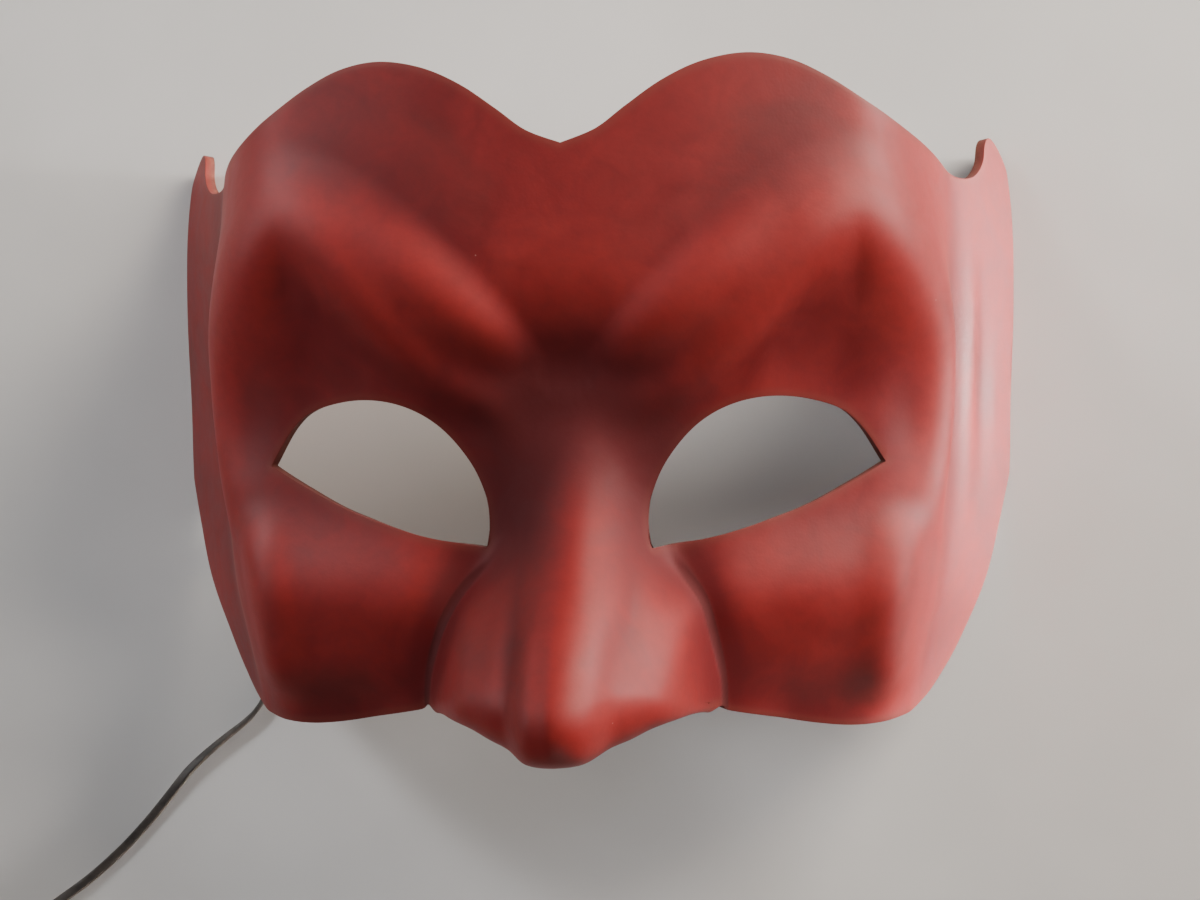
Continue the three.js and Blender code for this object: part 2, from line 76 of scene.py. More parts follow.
# Shallow marks that the modelling tool left and swellings of the leather, on one side only
TOOL_MARKS = [
    dict(rise=-1, s=-8.8, y=-42, half_width=2.2, half_height=12),
    dict(rise=-0.4, s=-2.6, y=-43, half_width=1.6, half_height=9),
    dict(rise=-0.6, s=13.8, y=-31, half_width=1.7, half_height=7),
    dict(rise=1.1, s=53.5, y=32, half_width=8, half_height=12),
    dict(rise=0.8, s=99.5, y=16, half_width=3.2, half_height=22),
    dict(rise=-0.7, s=107.5, y=12, half_width=4.2, half_height=16),
]

# Painted shade between the eyes and on both flanks of the nose's root, where the leather is also made
# rougher
NOSE_ROOT_SHADE_SPOTS = [
    dict(rise=0.8, s=0, y=8, half_width=16, half_height=14),
    dict(rise=1, s=-10, y=-6, half_width=10, half_height=18),
    dict(rise=1, s=18, y=-5, half_width=9, half_height=14),
]

# The lace is flat with rounded edges; LACE_POWER gives how high it stands at each turn from lying flat
LACE_WIDTH = 2.2
LACE_THICKNESS = 1.2
LACE_LENGTH = 450
LACE_POWER = 4 / 3
LACE_STEP = 1.0
STRIP_SIDES = 16

# One smooth curve joins the lace's run and its coil. It goes through every fifth point of the run, apart
# from the last four, and through every fourth point of the coil and its last.
RUN_EVERY = 5
RUN_LEFT_OUT = 4
COIL_EVERY = 4
LACE_CURVE_STEPS = 6

# The coil lies on its tie, which holds it a little above the floor. Its turns lie beside and on each
# other: each pair says how far out from the middle of the bundle a turn starts, and in which layer.
COIL_CENTRE = (-137.4, -138.2)
COIL_RADIUS = 12
COIL_FLOOR = 0.8
COIL_ENTRY = math.radians(124)
COIL_TURNS = [(1.15, 0), (-1.05, 0), (-1.05, 1), (1.15, 1), (1.15, 1)]
COIL_STEPS = 48
COIL_CROSSING = 0.2
COIL_FIRST_LAYER = 0.55
ON_EDGE = 90

# The thread round the coil and the path of its ends: out from the bundle's side, up, and along the turns
TIE_ANGLE = math.radians(-50)
TIE_HEIGHT = 1.05
TIE_OUTWARD = 0.05
TIE_GAP = 0.35
TIE_LOOPS = 6
TIE_PITCH = 0.52
TIE_STEPS = 40
TIE_SQUARENESS = 0.45
THREAD_RADIUS = 0.26
THREAD_END_RADIUS = 0.24
TIE_END = [
    (0.3, 1.1, 1.2), (0.75, 0.4, 0.3), (1, -0.4, -0.5), (1.2, -1.1, -1.4), (1.6, -1.9, -2.6),
    (2.2, -2.45, -4.2),
]

# The patch over the lace's end, inside the left wing: a rounded plate with a bevelled rim, swollen
# where the lace runs in under it. The last two are stretches of its height, from -1 to 1.
PATCH_FROM, PATCH_TO, PATCH_LOW, PATCH_HIGH = 102, 113, 3.5, 21.5
PATCH_POINTS = 44
PATCH_ROUNDING = (0.12, 0.06)
PATCH_ROUNDING_POWER = 6
PATCH_BEVEL = 0.12
PATCH_RIM = 0.5
PATCH_RISE = 0.8
PATCH_SWELLING = 1.5
PATCH_SWELLING_WIDTH = 1.9
PATCH_LACE_END = (0.75, 0.15)
PATCH_LACE_ENTRY = (-0.8, -1)

# Outlines on the flat leather: distance from the middle along the leather, height on the face
TOP_EDGE = [
    (0, 58.8), (6.7, 61.4), (12.5, 65.7), (19.6, 70.6), (27.5, 74.2), (36.5, 75.9), (45, 74.9),
    (53, 71.6), (61, 66.9), (69, 62.6), (77.5, 59.7), (87, 58), (96, 57.6), (103.5, 58.9), (109.5, 62.6),
    (113, 67.2), (116.2, 69), (119.6, 67.6), (122, 65),
]
TOP_EDGE_END = 62.5
LOWER_EDGE = [
    (33, -52), (38, -52.9), (44.5, -54.1), (53.5, -55.7), (62.5, -56.7), (70.5, -56.7), (78, -56.2),
    (87, -55.3), (95, -53), (101.5, -49), (107.5, -43.5), (112, -36), (115.6, -27), (118.6, -17.5),
]
LOWER_EDGE_END = -6
EYE_UPPER = [
    (16.6, -19.2), (15.7, -16.2), (16.1, -10.3), (19.3, -2.4), (25.6, 5), (33.6, 9.2), (43, 10.3),
    (52.9, 8.4), (58.5, 4.6), (64, -2.7),
]
EYE_LOWER = [(16.6, -19.2), (30.2, -16.9), (46, -11.8), (56.7, -6.7), (64, -2.7)]

# The line where the leather turns under at the nose, how far out it does, and the step for its slope
NOSE_LIP = [
    (-6, -45.5), (0, -45.3), (5, -45), (10, -43.4), (16, -44.2), (22, -46.2), (28, -48), (34, -51.8),
    (44, -54),
]
LIP_END = NOSE_LIP[-2][0]
LIP_STEP = 1

# The nose by height on the face: its ridge, half width, roundness, foot, the softness of its crease,
# and how far it leans to the right
NOSE_TOP = [
    (-60, 102), (-50, 100.5), (-42, 96.5), (-32, 89.5), (-20, 79.5), (-14, 74), (-8, 68.2), (0, 60),
    (8, 50.5), (22, 34),
]
NOSE_HALF_WIDTH = [
    (-70, 33), (-51.6, 32.6), (-41.5, 31), (-31.5, 26), (-22, 18.8), (-15, 15), (-6, 12.5), (8, 11),
    (22, 10),
]
NOSE_ROUNDNESS = [(-60, 17), (-46, 16), (-36, 14.5), (-16, 14), (4, 14), (22, 14)]
NOSE_FOOT = [(-70, 50), (-50, 54), (-34, 57), (-20, 57.5), (-10, 57), (0, 50), (8, 38), (22, 22)]
NOSE_CREASE = [
    (-70, 1.2), (-50, 1.2), (-38, 1.4), (-30, 2), (-24, 3.4), (-18, 6), (-10, 10), (4, 13), (22, 12),
]
NOSE_LEAN = [(-60, 0), (-46, 0.6), (-36, 1.2), (-26, 2.2), (0, 2.3), (22, 0)]
NARROWING = [
    (-80, 0.12), (-62, 0.11), (-52, 0.088), (-42, 0.062), (-27, 0.02), (-8, 0), (12, -0.006), (30, -0.014),
    (48, -0.014), (60, -0.004), (70, 0.014), (80, 0.02),
]
NARROWING_REACH = 45

# Ridges along paths: distance from the middle, height on the face, rise, and the ridge's width on the
# right and on the left of its path
BROW = [
    (8, 16, 0.3, 6, 5), (12, 19.5, 1.5, 7, 7), (16.5, 22.6, 2.4, 8, 9), (23.2, 27.5, 3, 8.5, 11),
    (31.8, 35.6, 3, 9, 11), (41, 43.5, 2.2, 9, 10.5), (49.5, 48.5, 1, 9, 11), (57, 51, 0.3, 10, 11),
    (66, 52, 0, 10, 11),
]
SOCKET_RIM = [
    (7, 3, 0, 5, 5), (14.4, 8, 0.8, 4.5, 5), (26, 15, 1.6, 4.5, 5.5), (34, 22.5, 2.4, 4.8, 5.5),
    (40.5, 30, 2.8, 5.5, 6), (46, 37, 3.1, 7, 6.5), (50.5, 41.8, 3.3, 8.5, 8), (56, 44.5, 3.4, 10.5, 11),
    (62, 42.5, 3.7, 11.5, 12), (67, 38, 4.1, 11, 11), (71.5, 31.5, 4.4, 10.5, 9), (75, 24, 4.5, 9, 6.5),
    (77, 15.5, 4.2, 7, 5), (78, 6, 3.6, 7.5, 4.8), (78, -8, 2, 9, 5), (78, -20, 0, 10, 6),
]
RIDGE_STEPS = 12
RIDGE_BLEND = 0.5
RIDGE_FALL = 4
DOME_POWER = 1.5

# Mesh density: columns from the middle to the eye, over the eye and out to the wing's edge, and rows
# below and above the eye
COLUMNS = (36, 70, 58)
ROWS = (60, 62)

# Where these columns start on the lower and on the upper edge
BELOW_EYE = (0, 14, 68)
ABOVE_EYE = (0, 18, 57)

# Height of the row of points that runs through the eye, at the middle and at the wing's back edge
EYE_ROW_START = -17
EYE_ROW_END = 12
RELAXING_PASSES = 700
SECTION_STEP = 0.5
SECTION_REACH = 160
NORMAL_REACH = 0.6
EDGE_STEPS = 8
GRAPH_STEPS = 16
ROUTE_STEPS = 10

# Finish of the cut edge, and how many evenings-out the surface is set against to find ridges and creases
RIM_ROUNDING = 0.6
RIM_SEGMENTS = 3
RIDGE_PASSES = 160
CREASE_PASSES = 10
CREASE_FADE = (50, 40)

# Middle of the lace: x, y, z and how far it is turned from lying flat, in degrees
LACE_ROUTE = [
    (-83.2, -6.4, 11.4, 60), (-83.2, -10.6, 11.2, 60), (-83.2, -15, 10.2, 64), (-83.1, -19.5, 8.2, 70),
    (-82.8, -24, 5.6, 78), (-82.2, -28.5, 3.3, 84), (-81.3, -33.5, 1.8, 88), (-80, -39, 1.25, 90),
    (-78.4, -45, 1.15, 90), (-77, -51, 1.15, 90), (-76.2, -57, 1.15, 90), (-76.5, -62.6, 1.15, 88),
    (-78.4, -67.9, 1.15, 82), (-81.9, -72, 1.15, 74), (-86.2, -75.4, 1.15, 64), (-91.2, -79.5, 1.15, 48),
    (-96.2, -84.2, 1.15, 28), (-100.4, -89.3, 1.15, 12), (-105, -94.9, 1.15, 4), (-110.4, -100.8, 1.15, 0),
    (-115.8, -105.9, 1.15, 0), (-121.2, -110.4, 1.15, 8), (-127.1, -114.6, 1.15, 24),
    (-133, -118.7, 1.15, 52), (-138.6, -122.5, 1.15, 76),
]

# The camera over the face: place, turn about the face's height, roll, nearest distance seen, and lens in
# pixels of a picture 1200 pixels wide
CAMERA_PLACE = (34.6, -FACE_MIDDLE, 414.3)
CAMERA_TURN = math.radians(4.59)
CAMERA_ROLL = math.radians(-0.49)
CAMERA_NEAR = 10
PICTURE_WIDTH = 1200
LENS_PIXELS = 1800
SENSOR_WIDTH = 36

# The studio: a floor, a dim surround and soft lights. The lights' places, aims and sizes are in metres,
# their power in watts and their spread in degrees.
FLOOR_REACH = 1500
WORLD_STRENGTH = 0.08
COOL_WHITE = (0.95, 0.97, 1)
ROSE_WHITE = (1, 0.95, 0.92)
FACE_AIM = (0, 0, 0.05)
SOFTBOXES = [
    dict(name="key", place=(0.54, 0.53, 0.4), size=(0.4, 0.35), power=10.8, colour=(1, 0.91, 0.8)),
    dict(name="front", place=(0.2, 0.2, 0.8), size=(0.6, 0.6), power=0.6, colour=(1, 0.96, 0.93)),
    dict(
        name="left", place=(-0.5, 0.1, 0.22), size=(0.3, 0.2), power=0.055, colour=COOL_WHITE,
        aim=(-0.02, 0, 0.08), spread=30,
    ),
    dict(
        name="upper_left", place=(-0.49, 0.4, 0.32), size=(0.3, 0.2), power=0.14, colour=COOL_WHITE,
        aim=(-0.1, 0.05, 0.03), spread=20,
    ),
    dict(
        name="right", place=(0.5, 0.2, 0.14), size=(0.25, 0.2), power=0.3, colour=ROSE_WHITE,
        aim=(0.03, 0, 0.07), spread=40,
    ),
    dict(
        name="side", place=(0.5, 0, 0.026), size=(0.5, 0.048), power=0.48, colour=ROSE_WHITE,
        aim=(0.09, 0, 0.012), spread=8,
    ),
    dict(
        name="low", place=(0.08, -0.5, 0.2), size=(0.2, 0.2), power=0.02, colour=(1, 0.94, 0.88),
        aim=(0.002, -0.06, 0.085), spread=25,
    ),
]


def ease(x):
    """From 0 to 1 as x goes from 0 to 1, level at both ends."""
    t = np.clip(x, 0, 1)
    return t * t * t * (t * (6 * t - 15) + 10)


def ramp(x, stretch):
    """From 0 at the start of a stretch to 1 at its end."""
    start, end = stretch
    return ease((x - start) / (end - start))


def bell(distance, width):
    return np.exp(-((distance / width) ** 2))


def dome(distance, width):
    """Like a bell, but it ends at a crisp foot."""
    return np.clip(1 - (distance / width) ** 2, 0, 1) ** DOME_POWER


def filleted_max(a, b, softness):
    """The larger of two heights, with the crease between them filleted."""
    return 0.5 * (a + b + np.hypot(a - b, softness))


def smooth_rows(rows, steps):
    """Catmull-Rom curve through rows of numbers, with a number of steps to each span."""
    points = np.array(rows, float)
    padded = np.vstack([points[:1], points, points[-1:]])
    out = []
    for p0, p1, p2, p3 in zip(padded, padded[1:], padded[2:], padded[3:]):
        for t in np.arange(steps) / steps:
            cubic = (3 * p1 - p0 - 3 * p2 + p3) * t**3
            out.append(0.5 * (2 * p1 + (p2 - p0) * t + (2 * p0 - 5 * p1 + 4 * p2 - p3) * t**2 + cubic))
    out.append(points[-1])
    return np.array(out)


def graph(points):
    """A function of one number, as a smooth curve through points."""
    line = smooth_rows(points, GRAPH_STEPS)
    return lambda x: np.interp(x, line[:, 0], line[:, 1])


narrowing_at = graph(NARROWING)
nose_top_at = graph(NOSE_TOP)
nose_half_width_at = graph(NOSE_HALF_WIDTH)
nose_roundness_at = graph(NOSE_ROUNDNESS)
nose_foot_at = graph(NOSE_FOOT)
nose_crease_at = graph(NOSE_CREASE)
nose_lean_at = graph(NOSE_LEAN)
nose_lip_at = graph(NOSE_LIP)


def slope_at(s):
    """Slope of the plain sheet at a distance from the middle: front, temple corner, flared wing."""
    front = np.minimum(s, FRONT_WIDTH) / FRONT_RADIUS
    corner = (CORNER_SLOPE - FRONT_WIDTH / FRONT_RADIUS) * ease((s - FRONT_WIDTH) / CORNER_WIDTH)
    return front + corner - FLARE * ease((s - FLARE_START) / FLARE_WIDTH)


def walk_section(step, reach):
    """The plain sheet's cross-section, found by walking along the leather."""
    s = np.arange(0, reach + step / 2, step)
    slope = slope_at(s[:-1] + step / 2)
    across = np.concatenate([[0], np.cumsum(np.cos(slope) * step)])
    height = SHEET_HEIGHT - np.concatenate([[0], np.cumsum(np.sin(slope) * step)])
    return s, across, height


SECTION_S, SECTION_ACROSS, SECTION_HEIGHT = walk_section(SECTION_STEP, SECTION_REACH)
BACK_EDGE = float(np.interp(0, -SECTION_HEIGHT, SECTION_S))


def ridge_rise(path, left_side, s, y):
    """Rise of a ridge along a path: a bell on its right side, blended between the nearest stretches."""
    total, weights = np.zeros(s.shape), np.zeros(s.shape)
    for a, b in zip(path[:-1], path[1:]):
        ds, dy = b[0] - a[0], b[1] - a[1]
        t = np.clip(((s - a[0]) * ds + (y - a[1]) * dy) / (ds * ds + dy * dy), 0, 1)
        near_s, near_y, height, right, left = (a[k] + t * (b[k] - a[k]) for k in range(5))
        distance = np.hypot(s - near_s, y - near_y)
        on_left = ds * (y - a[1]) - dy * (s - a[0]) > 0
        weight = (distance**2 + RIDGE_BLEND) ** -RIDGE_FALL
        total += weight * height * np.where(on_left, left_side(distance, left), bell(distance, right))
        weights += weight
    return total / weights


BROW_PATH, SOCKET_RIM_PATH = (smooth_rows(path, RIDGE_STEPS) for path in (BROW, SOCKET_RIM))


def swelling(form, s, y):
    """A round hollow or swelling."""
    return form["rise"] * bell(s - form["s"], form["half_width"]) * bell(y - form["y"], form["half_height"])


def face_rise(s, y):
    """What forehead, glabella, eye sockets and cheeks add to the sheet's height."""
    forehead = FOREHEAD["rise"] * ramp(y, FOREHEAD["height"]) * ramp(s, FRONT_END)
    cheek_middle = CHEEK["y"] + CHEEK["tilt"] * (s - CHEEK["middle"])
    cheek_share = ramp(s, CHEEK["start"]) * ramp(s, CHEEK["end"])
    cheek = CHEEK["rise"] * bell(y - cheek_middle, CHEEK["half_height"]) * cheek_share
    jaw = JAW["fall"] * ramp(y, JAW["height"]) * ramp(s, JAW["start"]) * ramp(s, JAW["end"])
    lip = LIP["fall"] * ramp(y, LIP["height"]) * ramp(s, LIP["end"])
    return forehead + swelling(GLABELLA, s, y) + swelling(EYE_SOCKET, s, y) + cheek - jaw - lip


def nose_height(signed_s, y):
    """The nose's own surface: straight flanks from a rounded ridge, grooves and full wings at the tip."""
    s = np.abs(signed_s - nose_lean_at(y))
    top, rounding = nose_top_at(y), nose_roundness_at(y)
    flank = (top - nose_foot_at(y)) / (np.hypot(nose_half_width_at(y), rounding) - rounding)
    forms = (NOSE_WING, NOSE_GROOVE)
    wing, groove = (form["rise"] * bell(s - form["s"], form["half_width"]) for form in forms)
    return top - flank * (np.hypot(s, rounding) - rounding) + ramp(y, NOSE_LOW) * (wing + groove)


def relief_rise(signed_s, y):
    """What stands off the sheet square to it: brow, socket's rim, cheek's corner, crease, tool marks."""
    s = np.abs(signed_s)
    corner = CHEEK_CORNER["rise"] * bell(s - CHEEK_CORNER["s"], CHEEK_CORNER["half_width"])
    corner = corner * ramp(y, CHEEK_CORNER["top"]) * ramp(y, CHEEK_CORNER["bottom"])
    ridges = ridge_rise(BROW_PATH, dome, s, y) + ridge_rise(SOCKET_RIM_PATH, bell, s, y)
    marks = sum(swelling(mark, signed_s, y) for mark in TOOL_MARKS)
    return ridges + corner + swelling(EYE_CREASE, s, y) + marks


def open_surface(signed_s, y):
    """The outer surface without the turned-under end of the nose."""
    s = np.abs(signed_s)
    slope = slope_at(s)
    sheet = np.interp(s, SECTION_S, SECTION_HEIGHT) + face_rise(s, y)
    nose_share = ramp(y, NOSE_SHARE["height"]) * ramp(s, NOSE_SHARE["width"])
    joined = filleted_max(sheet, nose_height(signed_s, y), nose_crease_at(y))
    relief = relief_rise(signed_s, y)
    narrowing = narrowing_at(y) * ease(s / NARROWING_REACH)
    across = np.interp(s, SECTION_S, SECTION_ACROSS) * (1 - narrowing) + relief * np.sin(slope)
    height = sheet + (joined - sheet) * nose_share + relief * np.cos(slope)
    return np.stack([np.where(signed_s < 0, -across, across), y + 0 * s, height], -1)


def roll_radius(s):
    return EDGE_ROLL_RADIUS + (NOSE_ROLL_RADIUS - EDGE_ROLL_RADIUS) * ramp(np.abs(s), ROLL_WIDTH)


def roll_length(s):
    """Leather below the nose's lip line: the turn and the flat underside, fading out towards the cheeks."""
    turn = roll_radius(s) * (NOSE_ROLL_ANGLE + NOSE_START_SLOPE)
    return ramp(np.abs(s), UNDERSIDE_WIDTH) * (turn + NOSE_UNDERSIDE)


def surface(s, y):
    """The outer surface: below the lip line the leather turns under, then runs straight."""
    s, y = np.broadcast_arrays(np.asarray(s, float), np.asarray(y, float))
    lip = nose_lip_at(np.abs(s))
    over = np.where(np.abs(s) < LIP_END, np.maximum(lip - y, 0), 0)
    point = open_surface(s, np.where(over > 0, lip, y))
    radius = roll_radius(s)
    climb = open_surface(s, lip + LIP_STEP)[..., 2] - open_surface(s, lip)[..., 2]
    start = np.arctan2(climb, LIP_STEP)
    turn = np.minimum(start + over / radius, NOSE_ROLL_ANGLE)
    straight = np.maximum(over - radius * (NOSE_ROLL_ANGLE - start), 0)
    down = radius * (np.sin(turn) - np.sin(start)) + straight * np.cos(turn)
    back = radius * (np.cos(turn) - np.cos(start)) - straight * np.sin(turn)
    rolled = over > 0
    point[..., 1] -= np.where(rolled, down, 0)
    point[..., 2] += np.where(rolled, back, 0)
    return point


def surface_normal(s, y):
    """Direction square to the outer surface, pointing out."""
    along = surface(s + NORMAL_REACH, y) - surface(s - NORMAL_REACH, y)
    up = surface(s, y + NORMAL_REACH) - surface(s, y - NORMAL_REACH)
    normal = np.cross(along, up)
    return normal / np.linalg.norm(normal, axis=-1, keepdims=True)


def travelled(line):
    """The distance along a line, up to each of its points."""
    return np.concatenate([[0], np.cumsum(np.linalg.norm(np.diff(line, axis=0), axis=1))])


def even_stretches(line, distances, count):
    """A line cut into a number of even stretches, with the distance along it at each of its points."""
    at = np.linspace(0, distances[-1], count + 1)
    return np.stack([np.interp(at, distances, line[:, c]) for c in range(line.shape[1])], 1)


def spaced(points, count):
    line = np.asarray(points, float)
    return even_stretches(line, travelled(line), count)


def joined_stretches(line, starts):
    """A line from the middle to the back edge, evenly spaced between the places where its columns change."""
    ends = [*starts[1:], BACK_EDGE]
    parts = []
    for start, end, count in zip(starts, ends, COLUMNS):
        inner = line[(line[:, 0] > start) & (line[:, 0] < end)]
        tips = [[x, np.interp(x, line[:, 0], line[:, 1])] for x in (start, end)]
        stretch = spaced(np.vstack([tips[:1], inner, tips[1:]]), count)
        parts.append(stretch[1:] if parts else stretch)
    return np.vstack(parts)


def edge_lines():
    """Lower and upper edge of one half, from the middle to the back edge."""
    s = np.arange(0, float(LOWER_EDGE[0][0]))
    nose_edge = np.stack([s, nose_lip_at(s) - roll_length(s)], 1)
    lower = smooth_rows([*LOWER_EDGE, (BACK_EDGE, LOWER_EDGE_END)], EDGE_STEPS)
    upper = smooth_rows([*TOP_EDGE, (BACK_EDGE, TOP_EDGE_END)], EDGE_STEPS)
    lower = np.vstack([nose_edge, lower])
    return joined_stretches(lower, BELOW_EYE), joined_stretches(upper, ABOVE_EYE)


def filled_block(bottom, top, rows):
    """A block of points filled in between two edges: [column, row, (s, y)]."""
    v = np.linspace(0, 1, rows + 1)[None, :, None]
    return bottom[:, None] * (1 - v) + top[:, None] * v


def eye_row(outline):
    """The row of points that runs through the eye, along the upper or the lower edge of its hole."""
    return np.vstack([
        spaced([(0, EYE_ROW_START), EYE_UPPER[0]], COLUMNS[0])[:-1],
        spaced(smooth_rows(outline, EDGE_STEPS), COLUMNS[1]),
        spaced([EYE_UPPER[-1], (BACK_EDGE, EYE_ROW_END)], COLUMNS[2])[1:],
    ])


def relaxed_grid():
    """Grid over one half of the flat leather, with a slit that opens to the eye hole, evened out inside."""
    lower, upper = edge_lines()
    below = filled_block(lower, eye_row(EYE_LOWER), ROWS[0])
    above = filled_block(eye_row(EYE_UPPER), upper, ROWS[1])
    first, second = COLUMNS[0], COLUMNS[0] + COLUMNS[1]
    joined = np.r_[1:first, second + 1:len(lower) - 1]
    for _ in range(RELAXING_PASSES):
        for part in (below, above):
            part[1:-1, 1:-1] = (part[:-2, 1:-1] + part[2:, 1:-1] + part[1:-1, :-2] + part[1:-1, 2:]) / 4
        row = (below[joined - 1, -1] + below[joined + 1, -1] + below[joined, -2] + above[joined, 1]) / 4
        below[joined, -1] = row
        above[joined, 0] = row
    return below, above


def new_object(name, vertices, faces, smooth=True):
    """A mesh object in the scene, from points in millimetres."""
    mesh = bpy.data.meshes.new(name)
    mesh.from_pydata((np.asarray(vertices) * MM).tolist(), [], faces)
    mesh.validate()
    mesh.update()
    if smooth:
        mesh.shade_smooth()
    obj = bpy.data.objects.new(name, mesh)
    bpy.context.scene.collection.objects.link(obj)
    return obj


def half_numbering(shapes):
    """Vertex numbers of both halves: [side][part][column, row], shared where halves and parts meet."""
    first, second = COLUMNS[0], COLUMNS[0] + COLUMNS[1]
    numbers, places = {}, []
    for side in (1, -1):
        for part, (columns, rows) in enumerate(shapes):
            grid = np.full((columns, rows), -1)
            for i in range(columns):
                for j in range(rows):
                    on_eye_row = j == (rows - 1 if part == 0 else 0)
                    if i == 0 and side < 0:
                        grid[i, j] = numbers[1, part][i, j]
                    elif on_eye_row and part == 1 and (i <= first or i >= second):
                        grid[i, j] = numbers[side, 0][i, -1]
                    else:
                        grid[i, j] = len(places)
                        places.append((side, part, i, j))
            numbers[side, part] = grid
    return numbers, places


def grid_quads(grid):
    """The four corner numbers of every cell of a grid of vertex numbers."""
    return np.stack([grid[:-1, :-1], grid[1:, :-1], grid[1:, 1:], grid[:-1, 1:]], -1).reshape(-1, 4)


def mask_shell():
    """The moulded leather: the outer surface, the inner one a leather's thickness behind it, and the rim."""
    parts = relaxed_grid()
    numbers, places = half_numbering([part.shape[:2] for part in parts])
    s = np.array([side * parts[part][i, j, 0] for side, part, i, j in places])
    y = np.array([parts[part][i, j, 1] for _, part, i, j in places])
    last_column = np.array([i == len(parts[0]) - 1 for _, _, i, _ in places])
    outer = surface(s, y)
    normals = surface_normal(s, y)
    inner = outer - LEATHER * normals
    inner[s == 0, 0] = 0
    inner[:, 2] = np.maximum(inner[:, 2], 0)
    outer[last_column, 2] = 0
    inner[last_column, 2] = 0
    quads = []
    for (side, part), grid in numbers.items():
        corners = grid_quads(grid)
        quads.append(corners if side > 0 else corners[:, ::-1])
    quads = np.vstack(quads)
    count = len(outer)
    edges = np.stack([quads, np.roll(quads, -1, axis=1)], -1).reshape(-1, 2)
    known = set(map(tuple, edges.tolist()))
    rim = [edge for edge in known if edge[::-1] not in known]
    rim_faces = [(b, a, a + count, b + count) for a, b in sorted(rim)]
    faces = quads.tolist() + (quads[:, ::-1] + count).tolist() + rim_faces
    vertices = np.vstack([outer, inner]) - (0, FACE_MIDDLE, 0)
    shell = new_object("mask_leather_shell", vertices, faces)
    mark_shell(shell, outer, edges, normals, np.array(rim), s, y)
    round_rim(shell, rim, count)
    return shell


def nearest_distance(points, targets):
    """Distance from each point to the nearest of the targets."""
    tree = KDTree(len(targets))
    for index, target in enumerate(targets.tolist()):
        tree.insert(target, index)
    tree.balance()
    return np.array([tree.find(point)[2] for point in points.tolist()])


def standing_out(points, edges, normals, passes):
    """How far each point stands out of the surface evened out round it."""
    weight = np.zeros(len(points))
    np.add.at(weight, edges[:, 0], 1)
    smooth = points.copy()
    for _ in range(passes):
        total = np.zeros_like(smooth)
        np.add.at(total, edges[:, 0], smooth[edges[:, 1]])
        smooth = 0.5 * smooth + 0.5 * total / weight[:, None]
    return ((points - smooth) * normals).sum(1)


def mark_shell(shell, outer, edges, normals, rim, s, y):
    """Marks for the leather's finish: the inside, the distance to a cut edge, ridges, hollows, creases, and
    where shade is painted at the nose's root.
    """
    count = len(outer)
    both_ways = np.unique(np.vstack([edges, edges[:, ::-1]]), axis=0)
    relief = standing_out(outer, both_ways, normals, RIDGE_PASSES)
    crease = standing_out(outer, both_ways, normals, CREASE_PASSES) * ramp(np.abs(s), CREASE_FADE)
    # Share of painted shade at the nose's root and between the eyes
    painted_shade = np.minimum(1, sum(swelling(place, s, y) for place in NOSE_ROOT_SHADE_SPOTS))
    inside = np.repeat([0.0, 1.0], count)
    near = nearest_distance(outer, outer[np.unique(rim)])
    marks = {
        "inside": inside,
        "edge_distance": np.tile(near, 2),
        "relief": np.tile(relief, 2),
        "crease": np.tile(crease, 2),
        "painted_shade": np.tile(painted_shade, 2),
    }
    for name, values in marks.items():
        attribute = shell.data.attributes.new(name, "FLOAT", "POINT")
        attribute.data.foreach_set("value", values.astype(np.float32))


def round_rim(shell, rim, count):
    """Rounds both edges of the cut leather."""
    sharp = {tuple(sorted(edge)) for edge in rim} | {tuple(sorted((a + count, b + count))) for a, b in rim}
    weights = shell.data.attributes.new("bevel_weight_edge", "FLOAT", "EDGE")
    values = [float(tuple(sorted(edge.vertices)) in sharp) for edge in shell.data.edges]
    weights.data.foreach_set("value", values)
    bevel = shell.modifiers.new("rim", "BEVEL")
    bevel.limit_method = "WEIGHT"
    bevel.width = RIM_ROUNDING * MM
    bevel.segments = RIM_SEGMENTS
    bevel.use_clamp_overlap = True


def coil_turns(length):
    """The coiled turns, two beside and two on each other, for the length given."""
    turns = np.array(COIL_TURNS)
    points = []
    used = 0.0
    while used < length and len(points) < COIL_STEPS * (len(turns) - 1):
        turn = len(points) / COIL_STEPS
        whole = int(turn)
        share = ease((turn - whole - 1 + COIL_CROSSING) / COIL_CROSSING)
        across, layer = turns[whole] * (1 - share) + turns[whole + 1] * share
        angle = COIL_ENTRY + 2 * math.pi * turn
        radius = COIL_RADIUS + across
        x = COIL_CENTRE[0] + radius * math.cos(angle)
        y = COIL_CENTRE[1] + radius * math.sin(angle)
        place = [x, y, COIL_FLOOR + LACE_WIDTH * (layer + COIL_FIRST_LAYER), ON_EDGE]
        used += math.dist(place[:3], points[-1][:3]) if points else 0.0
        points.append(place)
    return points


def lace_line():
    """The lace's whole middle line, at even steps, with its turn in the last column."""
    run = smooth_rows(LACE_ROUTE, ROUTE_STEPS)
    turn = np.radians(run[:, 3])
    upright = LACE_WIDTH / 2 * np.abs(np.sin(turn))
    flat = LACE_THICKNESS / 2 * np.abs(np.cos(turn))
    run[:, 2] += (upright**LACE_POWER + flat**LACE_POWER) ** (1 / LACE_POWER) - LACE_WIDTH / 2
    coil = coil_turns(LACE_LENGTH - travelled(run[:, :3])[-1])
    thinned = [*run[:-RUN_LEFT_OUT:RUN_EVERY], *coil[::COIL_EVERY], coil[-1]]
    line = smooth_rows(thinned, LACE_CURVE_STEPS)
    distances = travelled(line[:, :3])
    return even_stretches(line, distances, int(distances[-1] / LACE_STEP))


def squared_ring(angles, squareness):
    """A circle of radius 1 that is pushed out towards its square."""
    cos, sin = np.cos(angles), np.sin(angles)
    return np.sign(cos) * np.abs(cos) ** squareness, np.sign(sin) * np.abs(sin) ** squareness


